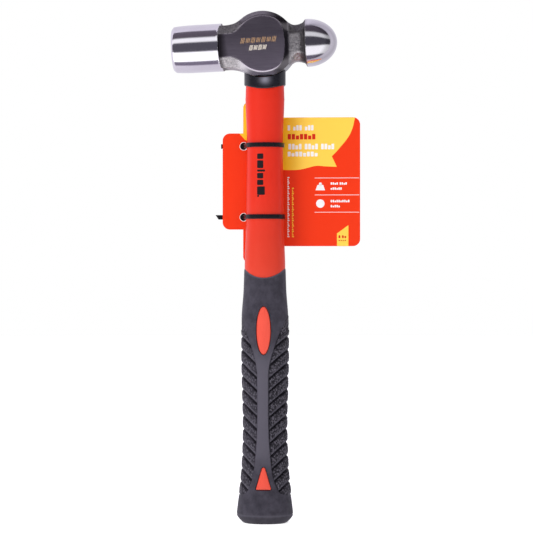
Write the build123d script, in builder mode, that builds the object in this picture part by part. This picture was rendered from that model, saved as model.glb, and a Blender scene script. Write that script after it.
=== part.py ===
import math
import os

from build123d import *

os.makedirs("parts", exist_ok=True)

# A ball peen hammer with a fibreglass shaft, standing on its butt.
# Z runs up the shaft, X along the head (striking face at -X, ball at +X), the front is -Y.
# All lengths are millimetres.

OVERALL_HEIGHT = 330.0

# Head, drawn about its own axis, which sits slightly canted on the shaft
HEAD_AXIS_HEIGHT = 307.6
HEAD_CANT = 2.7
FACE_X = -59.6
FACE_RADIUS = 13.2
FACE_CHAMFER_X = -58.0
POLL_FRONT_RADIUS = 14.8
POLL_RADIUS = 15.4
POLL_CROWN_X = -45.0
POLL_CROWN_SLOPE = 0.15
SHOULDER_X = -27.9
BALL_SHOULDER_X = 26.4
BALL_RADIUS = 15.4
BALL_DOME_X = 30.0
BALL_TIP_X = 46.6
LEFT_NECK_HALF = 14.0
FLAT_NECK_HALF = 7.4
CHEEK_CENTRE_X = -0.8
CHEEK_RADIUS = 21.2
CHEEK_FLAT_CENTRE_X = -0.5
CHEEK_FLAT_RADIUS = 17.9
CHEEK_HALF_DEPTH = 13.2
CHEEK_RIM_DEPTH = 10.3
RIM_BLEND = 22.0
CORNER_TOLERANCE = 0.01
FLAT_BLEND = 11.0
RIGHT_NECK_HALF = 11.6
RIGHT_NECK_DEPTH = 10.8
RIGHT_NECK_BEVEL = 5.2
EYE_X = 11.0
EYE_Y = 7.8

# Shaft
DEPTH_RATIO = 0.86
CORE_X = 9.8
CORE_Y = 6.8
CORE_BOTTOM = 16.0
CORE_TOP = 324.0
BOND_BOTTOM = 290.5
BOND_TOP = 325.2
JACKET_TOP = 290.0
JACKET_BOTTOM = 12.0

# Collar
COLLAR_X = 13.35
COLLAR_Y = 12.0
COLLAR_LOW = 279.0
COLLAR_SIDE_LOW = 281.5
COLLAR_TOP = 292.5
HEAD_GAP = 0.3

# Grip
GRIP_TOP = 164.0
GRIP_SCOOP_LOW = 157.8
GRIP_BUTT_MARGIN = 4.6
GRIP_BUTT_HEIGHT = 5.6
WINDOW_HEIGHT = 30.5
WINDOW_WIDTH = 9.0
WINDOW_CENTRE = 124.0
WINDOW_FLOOR = 12.2
WEDGE_LOW = 22.2
WEDGE_HIGH = 39.2
WEDGE_WIDTH = 10.0
WEDGE_FLOOR = 12.5
WEDGE_ROUND = 0.9
GROOVE_COUNT = 12
GROOVE_PITCH = 8.45
GROOVE_FIRST = 18.0
GROOVE_WIDTH = 1.4
GROOVE_DEPTH = 1.0
GROOVE_RISE = 10.0
STRIP_HALF = 6.4

# Display card and the ties that hold it
CARD_FRONT = 11.7
CARD_THICKNESS = 0.5
CARD_BACK = CARD_FRONT + CARD_THICKNESS
HOLE_RADIUS = 2.4
HOLE_LEFT_X = -14.7
HOLE_RIGHT_X = 7.3
TIE_UPPER_Z = 243.1
TIE_LOWER_Z = 197.0
TIE_WIDTH = 2.9
TIE_THICK = 0.8
TIE_GAP = 0.1
TIE_HEAD_LENGTH = 5.0
TIE_HEAD_DEPTH = 3.8
TIE_HEAD_HEIGHT = 5.2
TIE_HEAD_X = -16.2
TIE_UPPER_SHAFT = 23.4
TIE_LOWER_SHAFT = 24.5
TIE_UPPER_TAIL_X = -29.6
TIE_LOWER_TAIL_X = -31.2
TIE_TAIL_SLANT = 2.0


def oval_body(sections, shrink=0.0):
    """Turned body through (height, width) pairs from the top down, flattened front to back."""
    points = [(width / 2 - shrink, height) for height, width in sections]
    top = points[0][1]
    bottom = points[-1][1]
    with BuildPart() as body:
        with BuildSketch(Plane.XZ):
            with BuildLine():
                Line((0, top), points[0])
                Spline(*points)
                Line(points[-1], (0, bottom))
                Line((0, bottom), (0, top))
            make_face()
        revolve(axis=Axis.Z)
        scale(by=(1, DEPTH_RATIO, 1))
    return body.part


def pear_outline(plane, neck_half, centre_x, radius, blend):
    """Side outline of the cheeks: a round eye swelling blended into the poll's neck."""
    neck_end = centre_x - math.sqrt(radius**2 - neck_half**2)
    with BuildSketch(plane) as outline:
        with Locations((centre_x, 0)):
            Circle(radius)
        with Locations(((SHOULDER_X + centre_x) / 2, 0)):
            Rectangle(centre_x - SHOULDER_X, 2 * neck_half)
        # the two inside corners where the neck meets the round
        corners = outline.vertices().filter_by(
            lambda v: math.isclose(plane.to_local_coords(v).X, neck_end, abs_tol=CORNER_TOLERANCE)
        )
        fillet(corners, blend)
    return outline.sketch


def rim_outline(depth):
    """Widest outline of the cheeks, at one depth from the head's middle plane."""
    return pear_outline(
        head_plane.offset(depth), LEFT_NECK_HALF, CHEEK_CENTRE_X, CHEEK_RADIUS, RIM_BLEND
    )


cant = math.radians(HEAD_CANT)
head_plane = Plane(
    origin=(0, 0, HEAD_AXIS_HEIGHT),
    x_dir=(math.cos(cant), 0, math.sin(cant)),
    z_dir=(0, -1, 0),
)
head_axis = Axis((0, 0, HEAD_AXIS_HEIGHT), (math.cos(cant), 0, math.sin(cant)))
neck_plane = Plane(
    origin=(0, 0, HEAD_AXIS_HEIGHT),
    x_dir=(0, 1, 0),
    z_dir=(math.cos(cant), 0, math.sin(cant)),
)

# Forged head: poll, ball, cheeks with the eye through them
with BuildPart() as head:
    with BuildSketch(head_plane) as poll_profile:
        with BuildLine():
            Line((FACE_X, 0), (FACE_X, FACE_RADIUS))
            Line((FACE_X, FACE_RADIUS), (FACE_CHAMFER_X, POLL_FRONT_RADIUS))
            Spline(
                (FACE_CHAMFER_X, POLL_FRONT_RADIUS),
                (POLL_CROWN_X, POLL_RADIUS),
                tangents=[(1, POLL_CROWN_SLOPE), (1, 0)],
            )
            Line((POLL_CROWN_X, POLL_RADIUS), (SHOULDER_X, POLL_RADIUS))
            Line((SHOULDER_X, POLL_RADIUS), (SHOULDER_X, 0))
            Line((SHOULDER_X, 0), (FACE_X, 0))
        make_face()
    revolve(axis=head_axis)
    with BuildSketch(head_plane) as ball_profile:
        with BuildLine():
            Line((BALL_SHOULDER_X, 0), (BALL_SHOULDER_X, BALL_RADIUS))
            Line((BALL_SHOULDER_X, BALL_RADIUS), (BALL_DOME_X, BALL_RADIUS))
            EllipticalCenterArc(
                (BALL_DOME_X, 0), BALL_TIP_X - BALL_DOME_X, BALL_RADIUS, start_angle=0, arc_size=90
            )
            Line((BALL_TIP_X, 0), (BALL_SHOULDER_X, 0))
        make_face()
    revolve(axis=head_axis)
    extrude(rim_outline(-CHEEK_RIM_DEPTH), amount=2 * CHEEK_RIM_DEPTH)
    for side in (-1, 1):
        flat_plane = head_plane.offset(side * CHEEK_HALF_DEPTH)
        flat = pear_outline(
            flat_plane, FLAT_NECK_HALF, CHEEK_FLAT_CENTRE_X, CHEEK_FLAT_RADIUS, FLAT_BLEND
        )
        loft([rim_outline(side * CHEEK_RIM_DEPTH), flat], ruled=True)
    with BuildSketch(neck_plane) as neck_profile:
        Rectangle(2 * RIGHT_NECK_DEPTH, 2 * RIGHT_NECK_HALF)
        chamfer(neck_profile.vertices(), RIGHT_NECK_BEVEL)
    extrude(amount=BALL_SHOULDER_X)
    with BuildSketch(Plane.XY.offset(HEAD_AXIS_HEIGHT - 2 * CHEEK_RADIUS)) as eye_profile:
        Ellipse(EYE_X, EYE_Y)
    extrude(amount=4 * CHEEK_RADIUS, mode=Mode.SUBTRACT)
head.part.label = "head"

# Fibreglass core, from the eye down into the grip
with BuildPart() as shaft_core:
    with BuildSketch(Plane.XY.offset(CORE_BOTTOM)):
        Ellipse(CORE_X, CORE_Y)
    extrude(amount=CORE_TOP - CORE_BOTTOM)
shaft_core.part.label = "shaft_core"

# Epoxy that bonds the core in the eye, closing over its end
with BuildPart() as eye_bond:
    with BuildSketch(Plane.XY.offset(BOND_BOTTOM)):
        Ellipse(EYE_X, EYE_Y)
    extrude(amount=BOND_TOP - BOND_BOTTOM)
    add(shaft_core.part, mode=Mode.SUBTRACT)
eye_bond.part.label = "eye_bond"

# Red jacket over the core, with raised pads that fill the windows of the grip
JACKET_SECTIONS = [
    (JACKET_TOP, 24.0),
    (272.0, 25.0),
    (246.0, 23.2),
    (210.0, 24.1),
    (186.0, 24.7),
    (165.0, 26.2),
    (152.0, 24.4),
    (120.0, 23.0),
    (70.0, 22.4),
    (JACKET_BOTTOM, 22.4),
]

with BuildSketch(Plane.XZ) as oval_window:
    with Locations((0, WINDOW_CENTRE)):
        Ellipse(WINDOW_WIDTH / 2, WINDOW_HEIGHT / 2)
with BuildSketch(Plane.XZ) as wedge_window:
    with BuildLine():
        Polyline(
            (-WEDGE_WIDTH / 2, WEDGE_LOW),
            (WEDGE_WIDTH / 2, WEDGE_LOW),
            (0, WEDGE_HIGH),
            close=True,
        )
    make_face()
    fillet(wedge_window.vertices(), WEDGE_ROUND)

with BuildPart() as shaft_jacket:
    add(oval_body(JACKET_SECTIONS))
    extrude(oval_window.sketch, amount=WINDOW_FLOOR, both=True)
    extrude(wedge_window.sketch, amount=WEDGE_FLOOR, both=True)
    add(shaft_core.part, mode=Mode.SUBTRACT)
    # the underside of the round cheeks rests in a shallow saddle
    with BuildSketch(head_plane):
        with Locations((CHEEK_CENTRE_X, 0)):
            Circle(CHEEK_RADIUS + HEAD_GAP)
    extrude(amount=OVERALL_HEIGHT, both=True, mode=Mode.SUBTRACT)
shaft_jacket.part.label = "shaft_jacket"

# Black collar tucked up under the head, its lower edge bowed
collar_bow = (COLLAR_X**2 + (COLLAR_SIDE_LOW - COLLAR_LOW) ** 2) / (
    2 * (COLLAR_SIDE_LOW - COLLAR_LOW)
)
with BuildPart() as collar:
    with BuildSketch(Plane.XY.offset(COLLAR_LOW)):
        Ellipse(COLLAR_X, COLLAR_Y)
    extrude(amount=COLLAR_TOP - COLLAR_LOW)
    with BuildSketch(Plane.XZ):
        with Locations((0, COLLAR_LOW + collar_bow)):
            Circle(collar_bow)
    extrude(amount=2 * COLLAR_Y, both=True, mode=Mode.INTERSECT)
    with BuildSketch(head_plane):
        with Locations((CHEEK_CENTRE_X, 0)):
            Circle(CHEEK_RADIUS + HEAD_GAP)
    extrude(amount=OVERALL_HEIGHT, both=True, mode=Mode.SUBTRACT)
    add(shaft_jacket.part, mode=Mode.SUBTRACT)
    add(shaft_core.part, mode=Mode.SUBTRACT)
collar.part.label = "collar"

# Black rubber grip, flared at the butt
GRIP_SECTIONS = [
    (GRIP_TOP, 26.8),
    (150.0, 27.6),
    (131.0, 30.1),
    (108.0, 30.1),
    (85.0, 29.0),
    (62.0, 28.0),
    (48.0, 28.5),
    (33.0, 30.3),
    (20.0, 33.0),
    (GRIP_BUTT_HEIGHT, 36.6),
]
butt_width = GRIP_SECTIONS[-1][1]
grip_scoop = ((GRIP_SECTIONS[0][1] / 2) ** 2 + (GRIP_TOP - GRIP_SCOOP_LOW) ** 2) / (
    2 * (GRIP_TOP - GRIP_SCOOP_LOW)
)

# Slanted tread grooves on both sides of the plain strip, front and back alike
reach = butt_width / 2
with BuildPart() as tread:
    with BuildSketch(Plane.XZ):
        for side in (-1, 1):
            for i in range(GROOVE_COUNT):
                low = GROOVE_FIRST + i * GROOVE_PITCH
                high = low + GROOVE_RISE
                with BuildLine():
                    Polyline(
                        (side * STRIP_HALF, low),
                        (side * reach, high),
                        (side * reach, high + GROOVE_WIDTH),
                        (side * STRIP_HALF, low + GROOVE_WIDTH),
                        close=True,
                    )
                make_face()
    extrude(amount=reach, both=True)
    add(oval_body(GRIP_SECTIONS, GROOVE_DEPTH), mode=Mode.SUBTRACT)

with BuildPart() as grip:
    add(oval_body(GRIP_SECTIONS))
    with BuildSketch(Plane.XY):
        Ellipse(
            butt_width / 2 - GRIP_BUTT_MARGIN, butt_width / 2 * DEPTH_RATIO - GRIP_BUTT_MARGIN
        )
    with BuildSketch(Plane.XY.offset(GRIP_BUTT_HEIGHT)):
        Ellipse(butt_width / 2, butt_width / 2 * DEPTH_RATIO)
    loft(ruled=True)
    with BuildSketch(Plane.XZ):
        with Locations((0, GRIP_SCOOP_LOW + grip_scoop)):
            Circle(grip_scoop)
    extrude(amount=butt_width, both=True, mode=Mode.SUBTRACT)
    extrude(oval_window.sketch, amount=butt_width, both=True, mode=Mode.SUBTRACT)
    extrude(wedge_window.sketch, amount=butt_width, both=True, mode=Mode.SUBTRACT)
    add(tread.part, mode=Mode.SUBTRACT)
    add(shaft_jacket.part, mode=Mode.SUBTRACT)
    add(shaft_core.part, mode=Mode.SUBTRACT)
grip.part.label = "grip"

# Printed display card behind the shaft: one die-cut sheet of three rectangles
# each panel is (left, right, bottom, top, corner radius)
CARD_PANELS = [
    (-28.5, 4.0, 189.0, 251.5, 4.7),
    (-15.1, 4.0, 167.5, 272.0, 4.0),
    (-6.0, 60.9, 178.2, 261.7, 4.7),
]

with BuildPart() as display_card:
    with BuildSketch(Plane.XZ.offset(-CARD_BACK)) as card_outline:
        for left, right, bottom, top, corner in CARD_PANELS:
            with Locations(((left + right) / 2, (bottom + top) / 2)):
                RectangleRounded(right - left, top - bottom, corner)
        with Locations(
            *[(x, z) for x in (HOLE_LEFT_X, HOLE_RIGHT_X) for z in (TIE_UPPER_Z, TIE_LOWER_Z)]
        ):
            Circle(HOLE_RADIUS, mode=Mode.SUBTRACT)
    extrude(amount=CARD_THICKNESS)
display_card.part.label = "display_card"


def tie_loop(plane, shaft_width, grow):
    """Area enclosed by the loop of a tie: round the shaft and through both card holes."""
    reach_x = shaft_width / 2 + TIE_GAP + grow
    reach_y = shaft_width / 2 * DEPTH_RATIO + TIE_GAP + grow
    left = HOLE_LEFT_X + TIE_THICK / 2 - grow
    right = HOLE_RIGHT_X - TIE_THICK / 2 + grow
    back = CARD_BACK + TIE_GAP + grow
    with BuildSketch(plane) as loop:
        Ellipse(reach_x, reach_y)
        with BuildLine():
            Polyline(
                (-reach_x, 0),
                (left, CARD_FRONT),
                (left, back),
                (right, back),
                (right, CARD_FRONT),
                (reach_x * math.cos(math.pi / 6), reach_y / 2),
                close=True,
            )
        make_face()
    return loop.sketch


def cable_tie(height, shaft_width, tail_x, tail_slant):
    """Nylon tie looped round the shaft, through the card, locked behind its left tab."""
    low_plane = Plane.XY.offset(height - TIE_WIDTH / 2)
    back = CARD_BACK + TIE_GAP
    with BuildPart() as tie:
        extrude(tie_loop(low_plane, shaft_width, TIE_THICK), amount=TIE_WIDTH)
        extrude(tie_loop(low_plane, shaft_width, 0), amount=TIE_WIDTH, mode=Mode.SUBTRACT)
        with BuildSketch(Plane.XZ.offset(-back - TIE_THICK)):
            with BuildLine():
                Polyline(
                    (tail_x, height - TIE_WIDTH / 2),
                    (HOLE_LEFT_X, height - TIE_WIDTH / 2),
                    (HOLE_LEFT_X, height + TIE_WIDTH / 2),
                    (tail_x - tail_slant, height + TIE_WIDTH / 2),
                    close=True,
                )
            make_face()
        extrude(amount=TIE_THICK)
        with Locations((TIE_HEAD_X, back + TIE_HEAD_DEPTH / 2, height)):
            Box(TIE_HEAD_LENGTH, TIE_HEAD_DEPTH, TIE_HEAD_HEIGHT)
    return tie.part


cable_tie_upper = cable_tie(TIE_UPPER_Z, TIE_UPPER_SHAFT, TIE_UPPER_TAIL_X, 0.0)
cable_tie_upper.label = "cable_tie_upper"
cable_tie_lower = cable_tie(TIE_LOWER_Z, TIE_LOWER_SHAFT, TIE_LOWER_TAIL_X, TIE_TAIL_SLANT)
cable_tie_lower.label = "cable_tie_lower"

pieces = [
    body.part for body in (head, shaft_core, eye_bond, shaft_jacket, collar, grip, display_card)
]
for piece in pieces + [cable_tie_upper, cable_tie_lower]:
    export_step(piece, f"parts/{piece.label}.step")
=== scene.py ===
import math

import bmesh
import bpy
import numpy as np
import openvdb as vdb
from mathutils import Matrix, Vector


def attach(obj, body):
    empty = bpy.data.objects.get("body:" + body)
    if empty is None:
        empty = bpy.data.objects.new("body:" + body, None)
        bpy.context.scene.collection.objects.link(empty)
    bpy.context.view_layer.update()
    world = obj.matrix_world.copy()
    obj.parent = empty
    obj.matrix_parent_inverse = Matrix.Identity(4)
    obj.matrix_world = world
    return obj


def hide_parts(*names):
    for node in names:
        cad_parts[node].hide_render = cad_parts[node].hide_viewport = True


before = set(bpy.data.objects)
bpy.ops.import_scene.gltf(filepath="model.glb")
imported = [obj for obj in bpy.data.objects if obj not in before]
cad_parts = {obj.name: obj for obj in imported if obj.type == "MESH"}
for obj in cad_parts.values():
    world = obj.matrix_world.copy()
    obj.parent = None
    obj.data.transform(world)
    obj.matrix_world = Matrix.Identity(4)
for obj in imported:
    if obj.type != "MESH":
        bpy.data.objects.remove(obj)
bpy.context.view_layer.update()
MM = 0.001

# ---------------------------------------------------------------- dimensions, millimetres
HEAD_AXIS_HEIGHT = 307.6
HEAD_CANT = math.radians(2.7)
FACE_X, FACE_RADIUS = -59.6, 13.2
FACE_CHAMFER_X, POLL_FRONT_RADIUS = -58.0, 14.8
POLL_RADIUS, POLL_CROWN_X = 15.4, -45.0
SHOULDER_X = -27.9
BALL_SHOULDER_X, BALL_DOME_X, BALL_TIP_X, BALL_RADIUS = 26.4, 27.6, 46.6, 15.4
LEFT_NECK_HALF, FLAT_NECK_HALF = 14.0, 7.4
RIM_BLEND, FLAT_BLEND = 22.0, 11.0
CHEEK_CENTRE_X, CHEEK_RADIUS = -0.8, 21.2
FLAT_CENTRE_X, FLAT_RADIUS, FLAT_RIGHT_X = -0.5, 17.9, 13.9
CHEEK_HALF_DEPTH, CHEEK_RIM_DEPTH = 13.2, 10.3
NECK_HALF, NECK_DEPTH, NECK_BEVEL, NECK_MIDDLE_X = 11.6, 10.6, 5.2, 20.3
EYE_X, EYE_Y = 11.0, 7.8
DEPTH_RATIO = 0.86
HEAD_GAP = 0.3

JACKET = [(12, 22.4), (70, 22.4), (120, 23.0), (152, 24.4), (165, 26.2), (186, 24.7),
          (210, 24.1), (246, 23.2), (272, 25.0), (290, 24.0)]
CORE_X, CORE_Y = 9.85, 6.85
RIDGE_Z, RIDGE_HEIGHT = 272.6, 0.14
JACKET_FOOT, JACKET_TOP = 12.0, 289.5
COLLAR_X, COLLAR_Y = 13.35, 12.0
COLLAR_BORE_X, COLLAR_BORE_Y, COLLAR_EDGE = 12.35, 10.75, 0.7
COLLAR_LOW, COLLAR_SIDE_LOW, COLLAR_TOP = 279.0, 281.5, 292.5
# centre of the painted highlight on the collar's front
COLLAR_HIGHLIGHT_X, COLLAR_HIGHLIGHT_Z = 1.0, 284.6

GRIP = [(5.6, 36.6), (12, 35.2), (20, 33.0), (33, 30.4), (48, 28.7), (62, 28.1), (85, 29.2),
        (108, 30.2), (130, 30.2), (150, 27.6), (164, 26.7)]
GRIP_TOP, SCOOP_LOW = 164.0, 157.8
BUTT_HEIGHT, BUTT_MARGIN, FOOT_ROUND = 5.6, 4.6, 1.1
BUTT_CHAMFER = [(0.6, 0.45), (1.7, 1.45), (2.8, 2.6), (3.6, 3.6), (4.1, 4.4), (4.4, 5.0)]
BORE_GAP, BORE_FLOOR = 0.06, 11.9
GRIP_AROUND = 288
WINDOW_CENTRE, WINDOW_HEIGHT, WINDOW_WIDTH = 124.0, 30.5, 9.0
WEDGE_LOW, WEDGE_HIGH, WEDGE_WIDTH = 22.2, 39.2, 10.0
WINDOW_GAP = 0.4
STRIP = [(17.0, 32.0), (20.0, 12.5), (24.0, 9.6), (30.0, 7.4), (36.0, 6.3), (44.0, 5.4),
         (56.0, 4.5), (70.0, 4.2), (96.0, 4.3), (103.0, 5.2), (113.0, 8.2), (121.0, 11.5),
         (129.0, 16.0), (136.0, 24.0)]
GROOVE_PITCH, GROOVE_FIRST, GROOVE_SLOPE = 8.48, 18.3, 0.9
GROOVE_HALF, GROOVE_DEPTH, GROOVE_LAST = 0.85, 1.35, 12
GROOVE_COS = math.cos(math.atan(GROOVE_SLOPE))

CARD_FRONT, CARD_THICKNESS = 11.7, 0.5
CARD_BACK = CARD_FRONT + CARD_THICKNESS
HOLE_LEFT_X, HOLE_RIGHT_X = -14.7, 7.3
TIE_UPPER_Z, TIE_LOWER_Z = 243.1, 197.0
TIE_WIDTH, TIE_THICK, TIE_GAP, TIE_EDGE, TOOTH_PITCH = 2.9, 0.8, 0.1, 0.28, 0.9
TIE_HEAD_X, TIE_HEAD_LENGTH, TIE_HEAD_DEPTH, TIE_HEAD_HEIGHT = -16.2, 5.0, 3.8, 5.2


# ---------------------------------------------------------------- small helpers
def smooth_curve(table):
    """Function through (position, value) pairs with no overshoot (monotone cubic)."""
    xs = np.array([a for a, _ in table], float)
    ys = np.array([b for _, b in table], float)
    h = np.diff(xs)
    d = np.diff(ys) / h
    m = np.zeros(len(xs))
    m[0], m[-1] = d[0], d[-1]
    same = d[:-1] * d[1:] > 0
    w1, w2 = 2 * h[1:] + h[:-1], h[1:] + 2 * h[:-1]
    with np.errstate(divide="ignore", invalid="ignore"):
        inner = (w1 + w2) / (w1 / d[:-1] + w2 / d[1:])
    m[1:-1] = np.where(same, np.nan_to_num(inner), 0.0)

    def value(x):
        x = np.clip(np.asarray(x, float), xs[0], xs[-1])
        i = np.clip(np.searchsorted(xs, x) - 1, 0, len(h) - 1)
        t = (x - xs[i]) / h[i]
        t2, t3 = t * t, t * t * t
        return ((2 * t3 - 3 * t2 + 1) * ys[i] + (t3 - 2 * t2 + t) * h[i] * m[i]
                + (3 * t2 - 2 * t3) * ys[i + 1] + (t3 - t2) * h[i] * m[i + 1])

    return value


def step(edge_low, edge_high, x):
    """Smooth step from 0 at the first edge to 1 at the second."""
    t = np.clip((x - edge_low) / (edge_high - edge_low), 0, 1)
    return t * t * (3 - 2 * t)


def smax(a, b, k):
    """Larger of two values, with the step between them rounded over k."""
    return np.maximum(a, b) + np.maximum(k - np.abs(a - b), 0) ** 2 / (4 * k)


def smin(a, b, k):
    return -smax(-a, -b, k)


def make_object(name, verts_mm, faces, body="root", smooth=True):
    mesh = bpy.data.meshes.new(name)
    mesh.from_pydata([tuple(v) for v in np.asarray(verts_mm, float) * MM], [], faces)
    mesh.validate()
    bm = bmesh.new()
    bm.from_mesh(mesh)
    bmesh.ops.recalc_face_normals(bm, faces=bm.faces)
    bm.to_mesh(mesh)
    bm.free()
    mesh.polygons.foreach_set("use_smooth", [smooth] * len(mesh.polygons))
    obj = bpy.data.objects.new(name, mesh)
    bpy.context.scene.collection.objects.link(obj)
    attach(obj, body)
    return obj


def tube_faces(rings, across, closed_loop=False):
    """Quads between consecutive rings of `across` vertices each."""
    faces = []
    count = rings if closed_loop else rings - 1
    for i in range(count):
        j = (i + 1) % rings
        for k in range(across):
            n = (k + 1) % across
            faces.append((i * across + k, i * across + n, j * across + n, j * across + k))
    return faces


def paint(obj, name, values):
    """Stores one number for each point, for the material to read."""
    layer = obj.data.attributes.new(name, "FLOAT", "POINT")
    layer.data.foreach_set("value", values.astype(np.float32))


def sharpen(obj, degrees):
    """Keeps edges steeper than this sharp."""
    obj.data.set_sharp_from_angle(angle=math.radians(degrees))


# ---------------------------------------------------------------- node materials
class Nodes:
    """Small wrapper that makes node set-up short."""

    def __init__(self, tree):
        self.nodes = tree.nodes
        self.links = tree.links

    def link(self, a, b):
        self.links.new(a, b)

    def feed(self, socket, value):
        """Gives a socket its constant, or links it."""
        if isinstance(value, (int, float, tuple)):
            socket.default_value = value
        else:
            self.link(value, socket)

    def node(self, kind, **inputs):
        """New node with its named inputs set or linked; spaces are written as underscores."""
        node = self.nodes.new("ShaderNode" + kind)
        for name, value in inputs.items():
            self.feed(node.inputs[name.replace("_", " ")], value)
        return node

    def math(self, op, *values):
        node = self.node("Math")
        node.operation = op
        for socket, value in zip(node.inputs, values):
            self.feed(socket, value)
        return node.outputs[0]

    def ramp(self, value, stops):
        """Colour ramp over angles given in turns, with its stops in degrees from -180 to 180."""
        node = self.node("ValToRGB", Fac=value)
        elements = node.color_ramp.elements
        while len(elements) > 1:
            elements.remove(elements[0])
        for i, (degrees, colour) in enumerate(stops):
            position = degrees / 360 + 0.5
            element = elements[0] if i == 0 else elements.new(position)
            element.position = position
            element.color = (*colour, 1)
        return node.outputs["Color"]


class Material(Nodes):
    """A new material on the principled shader, with object coordinates at hand."""

    def __init__(self, name):
        self.mat = bpy.data.materials.new(name)
        self.mat.use_nodes = True
        super().__init__(self.mat.node_tree)
        self.bsdf = self.nodes["Principled BSDF"]
        self.coord = self.node("TexCoord").outputs["Object"]

    def set(self, **values):
        for key, value in values.items():
            self.bsdf.inputs[key.replace("_", " ")].default_value = value
        return self

    def scaled(self, scale):
        return self.node("Mapping", Scale=scale, Vector=self.coord).outputs["Vector"]

    def noise(self, scale, detail=4.0, rough=0.55, vector=None):
        node = self.node("TexNoise", Scale=scale, Detail=detail, Roughness=rough,
                         Vector=vector or self.coord)
        return node.outputs["Fac"]

    def voronoi(self, scale, vector=None):
        node = self.node("TexVoronoi", Scale=scale, Vector=vector or self.coord)
        return node.outputs["Distance"]

    def attribute(self, name):
        node = self.node("Attribute")
        node.attribute_name = name
        return node.outputs["Fac"]

    def remap(self, value, low, high, to_low, to_high):
        node = self.node("MapRange", Value=value, From_Min=low, From_Max=high,
                         To_Min=to_low, To_Max=to_high)
        return node.outputs["Result"]

    def blend(self, noise, a, b):
        """Colour drift between two colours, by a noise that mostly stays within 0.3 to 0.7."""
        return self.mix(self.remap(noise, 0.3, 0.7, 0, 1), a, b)

    def mix(self, fac, a, b, kind="RGBA"):
        node = self.node("Mix")
        node.data_type = kind
        first, second, result = {"RGBA": (6, 7, 2), "FLOAT": (2, 3, 0)}[kind]
        self.feed(node.inputs[0], fac)
        self.feed(node.inputs[first], a)
        self.feed(node.inputs[second], b)
        return node.outputs[result]

    def bump(self, height, strength, distance, normal=None):
        node = self.node("Bump", Strength=strength, Distance=distance, Height=height)
        if normal is not None:
            self.link(normal, node.inputs["Normal"])
        return node.outputs["Normal"]

    def to(self, value, socket):
        self.link(value, self.bsdf.inputs[socket])

    def grain(self, fine, smoothest, roughest, bump):
        """Fine noise that varies both the roughness and the surface."""
        self.to(self.remap(fine, 0.3, 0.7, smoothest, roughest), "Roughness")
        self.to(self.bump(fine, bump, 0.0001), "Normal")


def plastic(name, dark, light, rough, grain, bump, shine=0.5):
    """Moulded plastic: faint colour drift, fine grain in roughness and surface."""
    m = Material(name)
    m.set(Specular_IOR_Level=shine)
    drift = m.noise(35.0, 3.0)
    m.to(m.mix(drift, dark, light), "Base Color")
    m.grain(m.noise(900.0, 3.0), rough - grain, rough + grain, bump)
    return m.mat


def steel_material():
    """Polished poll and ball, brushed dark cheeks, ground bevels, rough cast necks."""
    m = Material("steel")
    m.set(Metallic=1.0)
    polish = m.attribute("polish")
    flat = m.attribute("flat")
    grind = m.attribute("grind")
    cast_noise = m.noise(900.0, 5.0, 0.6)
    cast_pits = m.voronoi(700.0)
    drift = m.noise(60.0, 4.0)
    brushed = m.noise(260.0, 5.0, 0.65, m.scaled((0.35, 1.0, 14.0)))
    turned = m.noise(240.0, 4.0, 0.6, m.scaled((16.0, 0.6, 0.6)))
    cast = m.mix(m.remap(cast_noise, 0.35, 0.65, 0, 1), (0.30, 0.28, 0.29, 1), (0.62, 0.59, 0.60, 1))
    bevel = m.blend(drift, (0.34, 0.32, 0.34, 1), (0.44, 0.415, 0.44, 1))
    cheek = m.blend(brushed, (0.44, 0.38, 0.46, 1), (0.57, 0.505, 0.59, 1))
    bright = m.blend(drift, (0.74, 0.715, 0.76, 1), (0.80, 0.78, 0.82, 1))
    ground = m.mix(grind, cast, m.mix(flat, bevel, cheek))
    finish = m.mix(polish, ground, bright)
    # the shade attribute blends in near black: painted shade on the head
    m.to(m.mix(m.attribute("shade"), finish, (0.035, 0.030, 0.035, 1)), "Base Color")
    r_cast = m.remap(cast_noise, 0.3, 0.7, 0.36, 0.60)
    r_bevel = m.remap(drift, 0.3, 0.7, 0.16, 0.24)
    r_cheek = m.remap(brushed, 0.3, 0.7, 0.30, 0.42)
    r_polish = m.remap(turned, 0.3, 0.7, 0.09, 0.15)
    r_ground = m.mix(grind, r_cast, m.mix(flat, r_bevel, r_cheek, "FLOAT"), "FLOAT")
    m.to(m.mix(polish, r_ground, r_polish, "FLOAT"), "Roughness")
    height = m.math("ADD", cast_noise, m.math("MULTIPLY", cast_pits, 0.6))
    rough_share = m.math("MULTIPLY", m.math("SUBTRACT", 1.0, polish), m.math("SUBTRACT", 1.0, grind))
    cast_bump = m.bump(m.math("MULTIPLY", height, rough_share), 0.6, 0.0006)
    brush_height = m.mix(polish, m.math("MULTIPLY", brushed, flat), turned, "FLOAT")
    m.to(m.bump(brush_height, 0.05, 0.0001, cast_bump), "Normal")
    return m.mat


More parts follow.
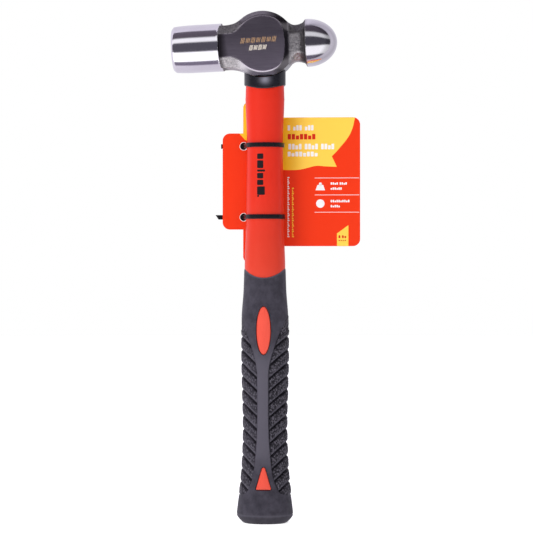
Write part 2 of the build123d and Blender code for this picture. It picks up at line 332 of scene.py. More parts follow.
def grip_material():
    """Rubber: matt smooth parts, pebbled pads, grooves, seam and chamfer darkened with painted shade, a
    painted sheen on the strip in front and painted highlight lines along edges.
    """
    m = Material("grip_rubber")
    m.set(Specular_IOR_Level=0.3)
    pad = m.attribute("pad")
    groove = m.attribute("groove")
    strip = m.attribute("strip")
    fine = m.noise(1500.0, 4.0, 0.6)
    wrinkle = m.voronoi(850.0, m.scaled((1.0, 1.0, 0.8)))
    dust = m.remap(m.noise(170.0, 8.0, 0.7), 0.36, 0.64, 0.0, 1.0)
    base = m.mix(dust, (0.030, 0.027, 0.038, 1), (0.058, 0.053, 0.071, 1))
    # painted sheen and painted highlight lines lighten the rubber here
    base = m.mix(m.math("MULTIPLY", strip, 0.9), base, (0.100, 0.093, 0.118, 1))
    pebbles = m.mix(m.remap(wrinkle, 0.15, 0.6, 0, 1), (0.195, 0.180, 0.218, 1), (0.008, 0.007, 0.010, 1))
    base = m.mix(m.math("MULTIPLY", pad, 0.65), base, pebbles)
    # painted shade: the groove share darkens the grooves, the seam and the butt's chamfer
    m.to(m.mix(m.math("MULTIPLY", groove, 0.75), base, (0.008, 0.007, 0.010, 1)), "Base Color")
    smooth_rough = m.remap(fine, 0.3, 0.7, 0.50, 0.58)
    pad_rough = m.remap(wrinkle, 0.1, 0.6, 0.42, 0.62)
    m.to(m.mix(pad, smooth_rough, pad_rough, "FLOAT"), "Roughness")
    pad_bump = m.bump(m.math("MULTIPLY", wrinkle, pad), 1.0, 0.0015)
    m.to(m.bump(fine, 0.12, 0.0001, pad_bump), "Normal")
    return m.mat


def card_material(name, low, high, centre=None):
    """Printed card; the ink may run to another colour towards the middle of the card."""
    m = Material(name)
    m.set(Specular_IOR_Level=0.2)
    drift = m.noise(18.0, 2.0)
    ink = m.mix(drift, low, high)
    if centre:
        split = m.node("SeparateXYZ", Vector=m.coord)
        from_middle = m.math("ABSOLUTE", split.outputs["X"])
        ink = m.mix(m.remap(from_middle, 0.0125, 0.0235, 0.0, 1.0), centre, ink)
    m.to(ink, "Base Color")
    m.grain(m.noise(1200.0, 4.0, 0.6), 0.34, 0.46, 0.06)
    return m.mat


def jacket_material():
    """Red jacket: satin, a little paler towards its foot."""
    m = Material("jacket_red")
    m.set(Specular_IOR_Level=0.32)
    drift = m.noise(40.0, 4.0)
    low = m.attribute("low")
    upper_red = m.mix(drift, (0.69, 0.020, 0.005, 1), (0.77, 0.028, 0.010, 1))
    lower_red = m.mix(drift, (0.66, 0.038, 0.015, 1), (0.74, 0.056, 0.026, 1))
    m.to(m.mix(low, upper_red, lower_red), "Base Color")
    m.grain(m.noise(900.0, 3.0), 0.30, 0.42, 0.12)
    return m.mat


def collar_material():
    """Black moulded collar, with a painted highlight in the middle of its front."""
    m = Material("collar_black")
    drift = m.noise(35.0, 3.0)
    collar_highlight = m.attribute("collar_highlight")
    base = m.mix(drift, (0.005, 0.005, 0.008, 1), (0.010, 0.010, 0.016, 1))
    # painted highlight: a lighter patch mixed into the colour
    m.to(m.mix(collar_highlight, base, (0.22, 0.215, 0.26, 1)), "Base Color")
    m.grain(m.noise(900.0, 3.0), 0.26, 0.36, 0.10)
    return m.mat


steel = steel_material()
rubber = grip_material()
jacket_red = jacket_material()
inlay_red = plastic("inlay_red", (0.80, 0.072, 0.038, 1), (0.88, 0.092, 0.052, 1), 0.50, 0.05, 0.15)
collar_black = collar_material()
tie_black = plastic("tie_black", (0.004, 0.004, 0.006, 1), (0.010, 0.010, 0.013, 1),
                    0.32, 0.06, 0.08, shine=0.32)
epoxy = plastic("epoxy", (0.018, 0.016, 0.013, 1), (0.032, 0.028, 0.022, 1), 0.28, 0.06, 0.10)
fibreglass = plastic("fibreglass", (0.72, 0.60, 0.34, 1), (0.82, 0.70, 0.44, 1), 0.45, 0.08, 0.15)
mark_black = plastic("mark_black", (0.010, 0.008, 0.010, 1), (0.020, 0.014, 0.016, 1),
                     0.42, 0.05, 0.05, shine=0.2)
mark_tan = plastic("mark_tan", (0.34, 0.20, 0.10, 1), (0.44, 0.27, 0.14, 1), 0.45, 0.08, 0.2)
mark_cream = plastic("mark_cream", (0.62, 0.55, 0.45, 1), (0.74, 0.68, 0.58, 1), 0.45, 0.08, 0.2)
card_red = card_material("card_red", (0.84, 0.036, 0.004, 1), (0.88, 0.042, 0.006, 1))
card_yellow = card_material("card_yellow", (1.0, 0.63, 0.075, 1), (1.0, 0.67, 0.10, 1),
                            centre=(1.0, 0.60, 0.018, 1))
card_dark_red = card_material("card_dark_red", (0.62, 0.022, 0.006, 1), (0.68, 0.028, 0.008, 1))
card_white = card_material("card_white", (0.86, 0.86, 0.84, 1), (0.92, 0.92, 0.90, 1))


# ---------------------------------------------------------------- head
def from_head(u, w):
    """From the head's own axes to X, Z of the hammer."""
    c, s = math.cos(HEAD_CANT), math.sin(HEAD_CANT)
    return u * c - w * s, HEAD_AXIS_HEIGHT + u * s + w * c


BALL_EDGE_X = 29.0     # right of this the whole ball is polished
HEAD_BOX = np.array([[-61.5, -17.0, -23.5], [48.5, 17.0, 23.5]])
HEAD_GRID = 0.42       # spacing of the lattice that the surface is taken from
SETTLE_ROUNDS = 4      # times that the points are drawn onto the exact surface
SLOPE_STEP = 0.01


def pear(x, z, neck_half, centre_x, radius, blend):
    """Signed distance to a round joined to a neck on its left by concave arcs."""
    z = np.abs(z)
    arc_z = neck_half + blend
    arc_x = centre_x - math.sqrt((radius + blend) ** 2 - arc_z ** 2)
    circle = np.hypot(x - centre_x, z) - radius
    hollow = blend - np.hypot(x - arc_x, z - arc_z)
    left = (arc_x - centre_x) * z - arc_z * (x - centre_x) < 0
    return np.where(left, circle, np.where(x < arc_x, z - neck_half, hollow))


def poll_shoulder(y):
    """Back end of the polished poll, which the ground cheeks cut into in front and behind."""
    return SHOULDER_X + 0.9 - 2.0 * step(7.0, 14.0, np.abs(y))


def head_parts(x, y, z):
    """Signed fields of the head in its own axes: poll, ball, cheeks, neck."""
    r = np.hypot(y, z)
    back = np.clip((POLL_CROWN_X - x) / (POLL_CROWN_X - FACE_CHAMFER_X), 0, 2)
    side = r - (POLL_RADIUS - (POLL_RADIUS - POLL_FRONT_RADIUS) * back ** 2)
    nx, nr = FACE_RADIUS - POLL_FRONT_RADIUS, FACE_CHAMFER_X - FACE_X
    length = math.hypot(nx, nr)
    bevel = ((x - FACE_X) * nx + (r - FACE_RADIUS) * nr) / length
    face = FACE_X - x
    shoulder = poll_shoulder(y)
    poll = smax(smax(smax(side, bevel, 0.5), face, 0.5), x - shoulder, 0.5)
    along = np.maximum(x - BALL_DOME_X, 0) / (BALL_TIP_X - BALL_DOME_X)
    dome = (np.sqrt(along ** 2 + (r / BALL_RADIUS) ** 2) - 1) * BALL_RADIUS
    ball = smax(dome, BALL_SHOULDER_X - x, 1.1)
    waist = 0.9 * step(2.0, 8.0, z) * step(-12.0, -19.0, x)
    rim = pear(x, np.abs(z) + waist, LEFT_NECK_HALF, CHEEK_CENTRE_X, CHEEK_RADIUS, RIM_BLEND)
    flat = pear(x, z, FLAT_NECK_HALF, FLAT_CENTRE_X, FLAT_RADIUS, FLAT_BLEND)
    flat = smax(flat, x - FLAT_RIGHT_X, 7.0)
    t = np.clip((np.abs(y) - CHEEK_RIM_DEPTH) / (CHEEK_HALF_DEPTH - CHEEK_RIM_DEPTH), 0, 1.3)
    slope = (1 - t) * rim + t * flat
    cheek = smax(slope, np.abs(y) - CHEEK_HALF_DEPTH, 0.6)
    cheek = np.maximum(cheek, shoulder - 0.4 - x)
    flare_z = np.minimum(np.abs(x - NECK_MIDDLE_X), 6.5) ** 2
    flare_y = np.clip(x - NECK_MIDDLE_X, 0, 6.5) ** 2
    hz, hy = NECK_HALF + 0.045 * flare_z, NECK_DEPTH + 0.03 * flare_y
    box = smax(np.abs(z) - hz, np.abs(y) - hy, 0.8)
    facet = (np.abs(y) + np.abs(z) - (hy + hz - NECK_BEVEL)) / math.sqrt(2)
    neck = smax(box, facet, 0.8)
    neck = np.maximum(neck, np.maximum(2.0 - x, x - BALL_SHOULDER_X - 0.4))
    return poll, ball, cheek, neck, flat


def head_field(x, y, z):
    poll, ball, cheek, neck, _ = head_parts(x, y, z)
    solid = smin(smin(cheek, neck, 2.6), poll, 1.3)
    solid = smin(solid, ball, 1.8)
    row_x, _ = from_head(x, z)
    eye = (np.sqrt((row_x / EYE_X) ** 2 + (y / EYE_Y) ** 2) - 1) * EYE_Y
    return smax(solid, -eye, 0.9)


def head_slope(p):
    """Gradient of the head's field."""
    slopes = []
    for shift in np.eye(3) * SLOPE_STEP:
        rise = head_field(*(p + shift).T) - head_field(*(p - shift).T)
        slopes.append(rise / (2 * SLOPE_STEP))
    return np.stack(slopes, axis=1)


def head_surface():
    """Closed mesh of the head in its own axes: points, normals and faces."""
    low, high = HEAD_BOX
    counts = np.ceil((high - low) / HEAD_GRID).astype(int) + 1
    axes = [start + HEAD_GRID * np.arange(count) for start, count in zip(low, counts)]
    field = head_field(*np.meshgrid(*axes, indexing="ij"))
    band = 3 * HEAD_GRID
    grid = vdb.FloatGrid(band)
    grid.copyFromArray(np.ascontiguousarray(np.clip(field, -band, band).astype(np.float32)))
    points, tris, quads = grid.convertToPolygons(isovalue=0.0, adaptivity=0.0)
    p = low + np.asarray(points, float) * HEAD_GRID
    for _ in range(SETTLE_ROUNDS):
        slope = head_slope(p)
        size = np.maximum((slope ** 2).sum(axis=1), 0.05)
        p = p - np.clip(head_field(*p.T) / size, -0.4, 0.4)[:, None] * slope
    normals = slope / np.maximum(np.linalg.norm(slope, axis=1), 1e-6)[:, None]
    faces = [tuple(int(i) for i in face) for group in (quads, tris) for face in group]
    return p, normals, faces


def head_paint(p, normals):
    """Where the head is polished, milled flat, ground at all, and darkened with painted shade."""
    x, y, z = p.T
    _, _, cheek, neck, flat = head_parts(x, y, z)
    behind_poll = x - poll_shoulder(y)
    radius = np.hypot(y, z) + np.maximum(x - BALL_EDGE_X, 0)
    on_poll = step(-0.1, -0.4, behind_poll)
    on_ball = (step(BALL_SHOULDER_X, BALL_SHOULDER_X + 1.0, x)
               * step(NECK_HALF + 1.0, NECK_HALF + 1.6, radius))
    polish = np.maximum(on_poll, on_ball)
    at_full_depth = step(CHEEK_HALF_DEPTH - 0.5, CHEEK_HALF_DEPTH - 0.15, np.abs(y))
    on_flat = step(0.3, -0.1, flat) * at_full_depth * (1 - polish)
    # the bevel round the swelling is ground too; only the necks keep their cast skin
    grind = step(-19.0, -13.0, x) * step(0.9, 0.3, cheek) * step(2.6, 0.9, cheek - neck)
    grind = np.maximum(grind * step(17.5, 15.0, x), on_flat) * (1 - polish)
    bare = (1 - on_flat) * (1 - polish)
    corner_under_poll = step(3.2, 0.6, behind_poll) * step(-4.0, -6.5, z)
    front_and_back = step(0.6, 0.8, np.abs(normals[:, 1]))
    shades = [
        0.85 * grind * bare * step(3.0, 10.0, x),                   # painted shade on the bevel, towards the ball
        0.75 * bare * step(4.5, 6.5, z) * step(14.5, 17.0, x),      # painted shade on top of the ball's neck
        0.45 * bare * step(6.5, 8.5, z) * step(-13.0, -17.0, x),    # painted shade on top of the poll's neck
        0.8 * bare * step(21.5, 24.5, x),                           # painted shade in the corner before the ball
        # painted shade in the corner under the poll
        0.7 * bare * corner_under_poll,
        0.32 * polish * (x > 0) * front_and_back,                   # painted shade on the ball's front and back
        on_flat * 0.48 * step(-16.0, 12.0, z),                      # painted shade: the flats darken upwards
        0.92 * on_flat * step(8.5, 0.6, behind_poll),               # painted shade in the corner beside the poll
    ]
    return {"polish": polish, "flat": on_flat, "grind": grind, "shade": np.max(shades, axis=0)}


def build_head():
    p, normals, faces = head_surface()
    x, z = from_head(p[:, 0], p[:, 2])
    obj = make_object("head_visual", np.stack([x, p[:, 1], z], axis=1), faces)
    for name, values in head_paint(p, normals).items():
        paint(obj, name, values)
    c, s = math.cos(HEAD_CANT), math.sin(HEAD_CANT)
    turned = np.stack([normals[:, 0] * c - normals[:, 2] * s, normals[:, 1],
                       normals[:, 0] * s + normals[:, 2] * c], axis=1)
    obj.data.normals_split_custom_set_from_vertices([tuple(v) for v in turned])
    obj.data.materials.append(steel)
    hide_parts("head")


build_head()


def prism(outline, y_low, y_high):
    """Thin upright slab between two depths."""
    n = len(outline)
    verts = [(x, y, z) for y in (y_low, y_high) for x, z in outline]
    faces = [tuple(range(n)), tuple(range(2 * n - 1, n - 1, -1))]
    faces += [(k, (k + 1) % n, n + (k + 1) % n, n + k) for k in range(n)]
    return verts, faces


def merged(name, pieces, material, smooth=False):
    """One object from several (points, faces) pieces."""
    verts, faces = [], []
    for v, f in pieces:
        base = len(verts)
        verts += list(v)
        faces += [tuple(base + i for i in face) for face in f]
    obj = make_object(name, verts, faces, smooth=smooth)
    obj.data.materials.append(material)
    return obj


def round_bar(cx, cz, width, height, radius=None, steps=6, tilt=0.0):
    """Outline of a rounded rectangle."""
    radius = min(width, height) / 2 if radius is None else radius
    points = []
    for qx, qz, start in ((1, 1, 0), (-1, 1, 90), (-1, -1, 180), (1, -1, 270)):
        for i in range(steps + 1):
            a = math.radians(start + 90 * i / steps)
            px = qx * (width / 2 - radius) + radius * math.cos(a)
            pz = qz * (height / 2 - radius) + radius * math.sin(a)
            points.append((cx + px * math.cos(tilt) - pz * math.sin(tilt),
                           cz + px * math.sin(tilt) + pz * math.cos(tilt)))
    return points


MARK_SLANT, MARK_TILT = math.radians(-16), math.radians(0.6)
STROKE_WIDTH, STROKE_PROUD, STROKE_SINK = 0.5, 0.03, 0.15


def etched_row(name, material, row_z, start, count, pitch, wide, tall):
    """Row of groups of three plain slanting strokes on the front cheek."""
    pieces = []
    for i in range(count):
        cx = start + pitch * i
        cz = row_z + math.tan(MARK_TILT) * (cx + 4.0)
        height = tall * (1 - 0.15 * (i % 2))
        for edge in (-1, 0, 1):
            stroke = round_bar(cx + edge * wide / 2.5, cz, STROKE_WIDTH, height, 0.2, 4, MARK_SLANT)
            pieces.append(prism([from_head(u, w) for u, w in stroke],
                                -CHEEK_HALF_DEPTH - STROKE_PROUD, -CHEEK_HALF_DEPTH + STROKE_SINK))
    merged(name, pieces, material)


etched_row("head_mark", mark_tan, 2.4, start=-13.2, count=7, pitch=3.35, wide=2.3, tall=3.6)
etched_row("head_mark_low", mark_cream, -2.4, start=-8.0, count=4, pitch=2.9, wide=2.0, tall=3.5)


# ---------------------------------------------------------------- jacket, collar, core
jacket_width = smooth_curve(JACKET)
grip_width = smooth_curve(GRIP)
AROUND = 128


def ring(angle, half_x, half_y):
    """Points round an oval; angle 0 is the front, 90 degrees is +X."""
    return half_x * np.sin(angle), -half_y * np.cos(angle)


def under_head(x, z, gap):
    """Height z, lowered where needed so that it stays under the round cheeks."""
    cx, cz = from_head(CHEEK_CENTRE_X, 0)
    limit = cz - np.sqrt(np.maximum((CHEEK_RADIUS + gap) ** 2 - (x - cx) ** 2, 0))
    return np.minimum(z, limit)


def build_jacket():
    angle = np.linspace(0, 2 * math.pi, AROUND, endpoint=False)
    # the rings lie closer together above the grip, where the jacket shows
    heights = np.concatenate([np.linspace(JACKET_FOOT, 150, 60), np.linspace(151.5, 277, 110),
                              np.linspace(278, JACKET_TOP, 8)])
    rings = []
    for z in heights:
        ridge = RIDGE_HEIGHT * math.exp(-((z - RIDGE_Z) / 0.9) ** 2)
        half = float(jacket_width(z)) / 2 + ridge
        x, y = ring(angle, half, half * DEPTH_RATIO)
        rings.append(np.stack([x, y, under_head(x, z, HEAD_GAP)], axis=1))
    for z in heights[::-1]:
        x, y = ring(angle, CORE_X, CORE_Y)
        rings.append(np.stack([x, y, under_head(x, z, HEAD_GAP)], axis=1))
    verts = np.concatenate(rings)
    obj = make_object("jacket_visual", verts, tube_faces(len(rings), AROUND, True))
    paint(obj, "low", step(225.0, 160.0, verts[:, 2]))
    obj.data.materials.append(jacket_red)
    sharpen(obj, 50)
    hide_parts("shaft_jacket")


build_jacket()


def build_collar():
    angle = np.linspace(0, 2 * math.pi, AROUND, endpoint=False)
    rise = COLLAR_SIDE_LOW - COLLAR_LOW
    bow = (COLLAR_X ** 2 + rise ** 2) / (2 * rise)
    outer_x, _ = ring(angle, COLLAR_X, COLLAR_Y)
    low = COLLAR_LOW + bow - np.sqrt(bow ** 2 - outer_x ** 2)
    rings = []

    def place(half_x, half_y, share, lift=0.0):
        x, y = ring(angle, half_x, half_y)
        high = under_head(x, COLLAR_TOP, HEAD_GAP)
        z = low + lift + (high - low - lift) * share
        rings.append(np.stack([x, y, z], axis=1))

    for degrees in range(0, 91, 15):
        turn = math.radians(degrees)
        inset, lift = COLLAR_EDGE * (1 - math.sin(turn)), COLLAR_EDGE * (1 - math.cos(turn))
        place(COLLAR_X - inset, COLLAR_Y - inset, 0.0, lift)
    steps_up = 14
    for i in range(1, steps_up + 1):
        place(COLLAR_X, COLLAR_Y, i / steps_up, COLLAR_EDGE * (1 - i / steps_up))
    place(COLLAR_BORE_X, COLLAR_BORE_Y, 1.0)
    place(COLLAR_BORE_X, COLLAR_BORE_Y, 0.0)
    verts = np.concatenate(rings)
    obj = make_object("collar_visual", verts, tube_faces(len(rings), AROUND, True))
    # painted highlight: a soft round patch on the front of the collar
    collar_highlight = np.exp(-((verts[:, 0] - COLLAR_HIGHLIGHT_X) / 3.0) ** 2 - ((verts[:, 2] - COLLAR_HIGHLIGHT_Z) / 2.6) ** 2)
    paint(obj, "collar_highlight", collar_highlight * (verts[:, 1] < 0))
    obj.data.materials.append(collar_black)
    sharpen(obj, 55)
    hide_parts("collar")


build_collar()
for node, material in (("shaft_core", fibreglass), ("eye_bond", epoxy), ("display_card", card_red)):
    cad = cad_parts[node]
    cad.data.materials.clear()
    cad.data.materials.append(material)


# ---------------------------------------------------------------- grip
strip_half = smooth_curve(STRIP)


def lattice(a, b, seed):
    """Repeatable value noise on a plane."""
    def corner(i, j):
        v = np.sin(i * 127.1 + j * 311.7 + seed * 74.7) * 43758.5453
        return v - np.floor(v)
    ia, ib = np.floor(a), np.floor(b)
    fa, fb = a - ia, b - ib
    fa, fb = fa * fa * (3 - 2 * fa), fb * fb * (3 - 2 * fb)
    return ((corner(ia, ib) * (1 - fa) + corner(ia + 1, ib) * fa) * (1 - fb)
            + (corner(ia, ib + 1) * (1 - fa) + corner(ia + 1, ib + 1) * fa) * fb)


class GripRings:
    """Rings of points up the grip, each with its shares of pad, groove and pale strip."""

    def __init__(self):
        self.angle = np.linspace(0, 2 * math.pi, GRIP_AROUND, endpoint=False)
        self.rings = []
        self.shares = {"pad": [], "groove": [], "strip": []}

    def add(self, x, y, z, pad=0.0, groove=0.0, strip=0.0):
        self.rings.append(np.stack([x, y, z + 0 * x], axis=1))
        for name, share in (("pad", pad), ("groove", groove), ("strip", strip)):
            self.shares[name].append(share + np.zeros(GRIP_AROUND))

    def oval(self, half_x, half_y, z, **shares):
        x, y = ring(self.angle, half_x, half_y)
        self.add(x, y, z, **shares)


def grip_butt(grip):
    """Flat foot, its rounded edge, then the chamfer."""
    half = float(grip_width(BUTT_HEIGHT)) / 2
    for share in (0.02, 0.2, 0.4, 0.6, 0.8, 0.9, 0.96):
        inner = (half - BUTT_MARGIN) * share
        grip.oval(inner, inner * DEPTH_RATIO, 0.0)
    foot_x, foot_y = half - BUTT_MARGIN, half * DEPTH_RATIO - BUTT_MARGIN
    for i in range(6):
        turn = math.radians(50 * i / 5)
        out = FOOT_ROUND * math.sin(turn)
        grip.oval(foot_x - FOOT_ROUND * 0.6 + out, foot_y - FOOT_ROUND * 0.6 + out,
                  FOOT_ROUND * (1 - math.cos(turn)))
    for out, z in BUTT_CHAMFER:
        # painted shade on the chamfer, and a painted highlight line along its top edge
        grip.oval(foot_x + out, foot_y + out, z, groove=0.5 * step(5.2, 4.2, z),
                  strip=0.5 * step(4.5, 5.2, z))


def from_centre_line(angle, half_x, half_y):
    """Distance round an oval from its front or back centre line, whichever is nearer."""
    fine = np.linspace(0, 2 * math.pi, 1441)
    x, y = ring(fine, half_x, half_y)
    arc = np.concatenate([[0], np.cumsum(np.hypot(np.diff(x), np.diff(y)))])
    total = arc[-1]
    s = np.interp(angle, fine, arc)
    s = np.minimum(s, total - s)
    return np.minimum(s, total / 2 - s)


def grip_tread_ring(grip, z):
    """One ring through the pebbled pads, cut by slanting grooves; the front strip stays smooth."""
    angle = grip.angle
    half = float(grip_width(z)) / 2
    half_y = half * DEPTH_RATIO
    side = np.abs(np.sin(angle))                        # 0 in front, 1 at the sides
    right = step(0.0, 0.2, np.sin(angle))
    margin = from_centre_line(angle, half, half_y) - float(strip_half(z)) + 0.8 * right
    pad = step(-0.15, 0.55, margin)
    slope_z = z + half * (1 - side) * GROOVE_SLOPE      # grooves look straight from the front
    phase = (slope_z - GROOVE_FIRST) / GROOVE_PITCH
    number = np.round(phase)
    off = np.abs(phase - number) * GROOVE_PITCH * GROOVE_COS
    alive = step(-0.1, 0.3, margin) * ((number >= 0) & (number <= GROOVE_LAST))
    groove = step(GROOVE_HALF, GROOVE_HALF * 0.35, off) * alive
    seam = step(0.6, 0.15, np.abs(margin - 0.1)) * step(126, 122, z) * step(18, 20, z) * right
    u = angle * half
    pebble = lattice(u * 1.1, z * 1.1, 3.0) * 0.6 + lattice(u * 2.1, z * 2.1, 5.0) * 0.4
    pebble = pebble * (0.4 + 0.6 * right)
    between = off / (GROOVE_PITCH / 2 * GROOVE_COS)
    crown = 0.35 * (1 - (1 - np.clip(between, 0, 1)) ** 2) * alive
    deep = GROOVE_DEPTH * (1 - 0.6 * step(0.82, 1.0, side))
    height = (pad * (0.55 * pebble - 0.2) + pad * crown - deep * groove
              - 0.45 * seam * (1 - groove))
    nx, ny = np.sin(angle) / half, -np.cos(angle) / half_y
    size = np.hypot(nx, ny)
    round_in = 0.35 * step(6.6, 5.6, z)
    x, y = ring(angle, half - round_in, half_y - round_in)
    # painted sheen on the middle of the front strip, and a painted highlight line round the top of the
    # butt's chamfer
    pale = step(0.3, -0.8, margin) * step(28, 50, z) * step(122, 98, z) + 0.5 * step(6.3, 5.7, z)
    # painted highlight along the upper edge of each groove
    above = slope_z > GROOVE_FIRST + number * GROOVE_PITCH
    lip = step(2.1, 1.3, off) * (1 - groove) * alive * above
    # groove share: painted shade in the grooves and the seam; strip share: painted sheen and painted
    # highlights on the groove lips
    grip.add(x + height * nx / size, y + height * ny / size, z,
             pad=pad * (1 - groove) * (1 - 0.7 * lip) * (0.6 + 0.4 * right),
             groove=np.maximum(groove, 0.8 * seam), strip=np.maximum(pale, 0.75 * lip))


def grip_neck(grip, start):
    """Smooth neck up to the scooped lip; returns the heights round the lip."""
    half_top = float(grip_width(GRIP_TOP)) / 2
    dip = GRIP_TOP - SCOOP_LOW
    scoop = (half_top ** 2 + dip ** 2) / (2 * dip)
    x, _ = ring(grip.angle, half_top, half_top * DEPTH_RATIO)
    lip = SCOOP_LOW + scoop - np.sqrt(np.maximum(scoop ** 2 - x ** 2, 0))
    for i in range(1, 17):
        t = i / 16
        z = start + (lip - start) * t
        half = grip_width(z) / 2 - 0.35 * max(0.0, t - 0.9) / 0.1
        # painted highlight line along the scooped lip
        grip.oval(half, half * DEPTH_RATIO, z, strip=step(0.84, 0.93, t))
    return z


def grip_bore(grip, lip):
    """Inside of the grip, which follows the jacket with a hair of clearance."""
    heights = [lip - drop for drop in (0.4, 3.0, 6.0, 9.0, 12.0, 16.0, 22.0)]
    heights += [132.0, 125.0, 118.0, 110.0, 98.0, 85.0, 70.0, 45.0, 20.0, BORE_FLOOR]
    for z in heights:
        half = jacket_width(z) / 2 + BORE_GAP
        grip.oval(half, half * DEPTH_RATIO, z)
    grip.oval(0.4, 0.4, BORE_FLOOR)


def build_grip():
    grip = GripRings()
    grip_butt(grip)
    # rings lie closest together along the treads, which carry the finest shapes
    heights = np.concatenate([np.linspace(BUTT_HEIGHT, 17, 16), np.linspace(17.4, 134, 292),
                              np.linspace(135, 153, 16)])
    for z in heights:
        grip_tread_ring(grip, z)
    grip_bore(grip, grip_neck(grip, heights[-1]))
    verts = np.concatenate(grip.rings)
    count = len(verts)
    faces = tube_faces(len(grip.rings), GRIP_AROUND)
    faces.append(tuple(range(GRIP_AROUND - 1, -1, -1)))
    faces.append(tuple(range(count - GRIP_AROUND, count)))
    obj = make_object("grip_visual", verts, faces)
    for name, shares in grip.shares.items():
        paint(obj, name, np.concatenate(shares))
    obj.data.materials.append(rubber)
    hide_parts("grip")
    return obj


def rounded_wedge():
    """Upright triangle with its corners rounded."""
    corners = [(-WEDGE_WIDTH / 2, WEDGE_LOW), (WEDGE_WIDTH / 2, WEDGE_LOW), (0.0, WEDGE_HIGH)]
    wedge = []
    for i, radius in enumerate((0.6, 0.6, 1.1)):
        p, a, b = Vector(corners[i]), Vector(corners[i - 1]), Vector(corners[(i + 1) % 3])
        da, db = (a - p).normalized(), (b - p).normalized()
        half = da.angle(db) / 2
        centre = p + (da + db).normalized() * (radius / math.sin(half))
        t1, t2 = p + da * (radius / math.tan(half)), p + db * (radius / math.tan(half))
        a1 = math.atan2((t1 - centre).y, (t1 - centre).x)
        a2 = math.atan2((t2 - centre).y, (t2 - centre).x)
        turn = (a2 - a1) % (2 * math.pi)
        for k in range(9):
            ang = a1 + turn * k / 8
            wedge.append((centre.x + radius * math.cos(ang), centre.y + radius * math.sin(ang)))
    return wedge


def window_oval():
    turns = [2 * math.pi * i / 64 for i in range(64)]
    return [(WINDOW_WIDTH / 2 * math.cos(a), WINDOW_CENTRE + WINDOW_HEIGHT / 2 * math.sin(a))
            for a in turns]


def middle(outline):
    return sum(p[0] for p in outline) / len(outline), sum(p[1] for p in outline) / len(outline)


def grown(outline, amount):
    """The same outline moved outwards."""
    centre = Vector(middle(outline))
    out = []
    n = len(outline)
    for i in range(n):
        p, a, b = Vector(outline[i]), Vector(outline[i - 1]), Vector(outline[(i + 1) % n])
        d = (b - a).normalized()
        normal = Vector((d.y, -d.x))
        if normal.dot(p - centre) < 0:
            normal = -normal
        out.append(tuple(p + normal * amount))
    return out


def dense(outline, spacing=0.45):
    """The same outline with no edge longer than the spacing."""
    out = []
    for a, b in zip(outline, outline[1:] + outline[:1]):
        parts = max(1, math.ceil(math.dist(a, b) / spacing))
        out += [(a[0] + (b[0] - a[0]) * i / parts, a[1] + (b[1] - a[1]) * i / parts)
                for i in range(parts)]
    return out


def surface_y(x, z, width, offset=0.0):
    """Front surface of an oval body at x, z."""
    half = width(z) / 2
    return -(half * DEPTH_RATIO) * np.sqrt(np.maximum(1 - (x / half) ** 2, 0)) - offset


def shrunk(outline, share):
    """The outline drawn in towards its middle."""
    cx, cz = middle(outline)
    return [(cx + (x - cx) * share, cz + (z - cz) * share) for x, z in outline]


def inlay(outline, depth, crown, sign):
    """Pillow that fills a window: concentric rings from the rim to the middle."""
    n = len(outline)
    levels = [(1.0, -3.0), (1.0, -0.15), (0.985, -0.04), (0.96, 0.0)]
    levels += [(share, 0.0) for share in (0.85, 0.7, 0.5, 0.3, 0.12)]
    verts = []
    for share, rise in levels:
        for x, z in shrunk(outline, share):
            y = float(surface_y(x, z, grip_width)) + depth - rise - crown * (1 - share ** 2)
            verts.append((x, y * sign, z))
    faces = tube_faces(len(levels), n)
    faces.append(tuple(range(n)))
    last = (len(levels) - 1) * n
    faces.append(tuple(range(last + n - 1, last - 1, -1)))
    return verts, faces


def build_windows(grip_obj):
    """Cuts the windows through the rubber, front and back, and fills them with red inlays."""
    pieces, cutters = [], []
    for outline, depth in ((window_oval(), 0.55), (rounded_wedge(), 0.5)):
        for sign in (1, -1):
            low, high = (-24.0, -9.0) if sign == 1 else (9.0, 24.0)
            cutters.append(prism(grown(outline, WINDOW_GAP), low, high))
            pieces.append(inlay(outline, depth, 0.15, sign))
    cutter = merged("window_cutter", cutters, rubber)
    cut = grip_obj.modifiers.new("windows", "BOOLEAN")
    cut.operation = "DIFFERENCE"
    cut.solver = "EXACT"
    cut.object = cutter
    depsgraph = bpy.context.evaluated_depsgraph_get()
    result = bpy.data.meshes.new_from_object(grip_obj.evaluated_get(depsgraph))
    grip_obj.modifiers.clear()
    grip_obj.data = result
    bpy.data.objects.remove(cutter)
    windows = merged("window_inlays", pieces, inlay_red, smooth=True)
    sharpen(windows, 50)
    sharpen(grip_obj, 48)


build_windows(build_grip())


# ---------------------------------------------------------------- print on the jacket
def wrapped(outline, width, proud=0.05, sink=0.15):
    """Thin printed shape that follows the front of an oval body."""
    outline = dense(outline)
    n = len(outline)
    shares = (1.0, 0.85, 0.7, 0.55, 0.4, 0.25, 0.1)
    verts = []
    for offset in (proud, -sink):
        for share in shares:
            verts += [(x, float(surface_y(x, z, width, offset)), z)
                      for x, z in shrunk(outline, share)]
    sheet = len(shares) * n
    front = tube_faces(len(shares), n)
    faces = front + [tuple(sheet + i for i in face) for face in front]
    faces += [(k, (k + 1) % n, sheet + (k + 1) % n, sheet + k) for k in range(n)]
    faces.append(tuple(range(sheet - n, sheet)))
    faces.append(tuple(range(2 * sheet - 1, 2 * sheet - n - 1, -1)))
    return verts, faces


BLOCK_TOP, BLOCK_X, BLOCK_HALF, BLOCK_GAP = 237.4, -2.3, 2.0, 0.9
DOT_X, DOT_Z, DOT_SIZE = -3.6, 210.2, 1.2


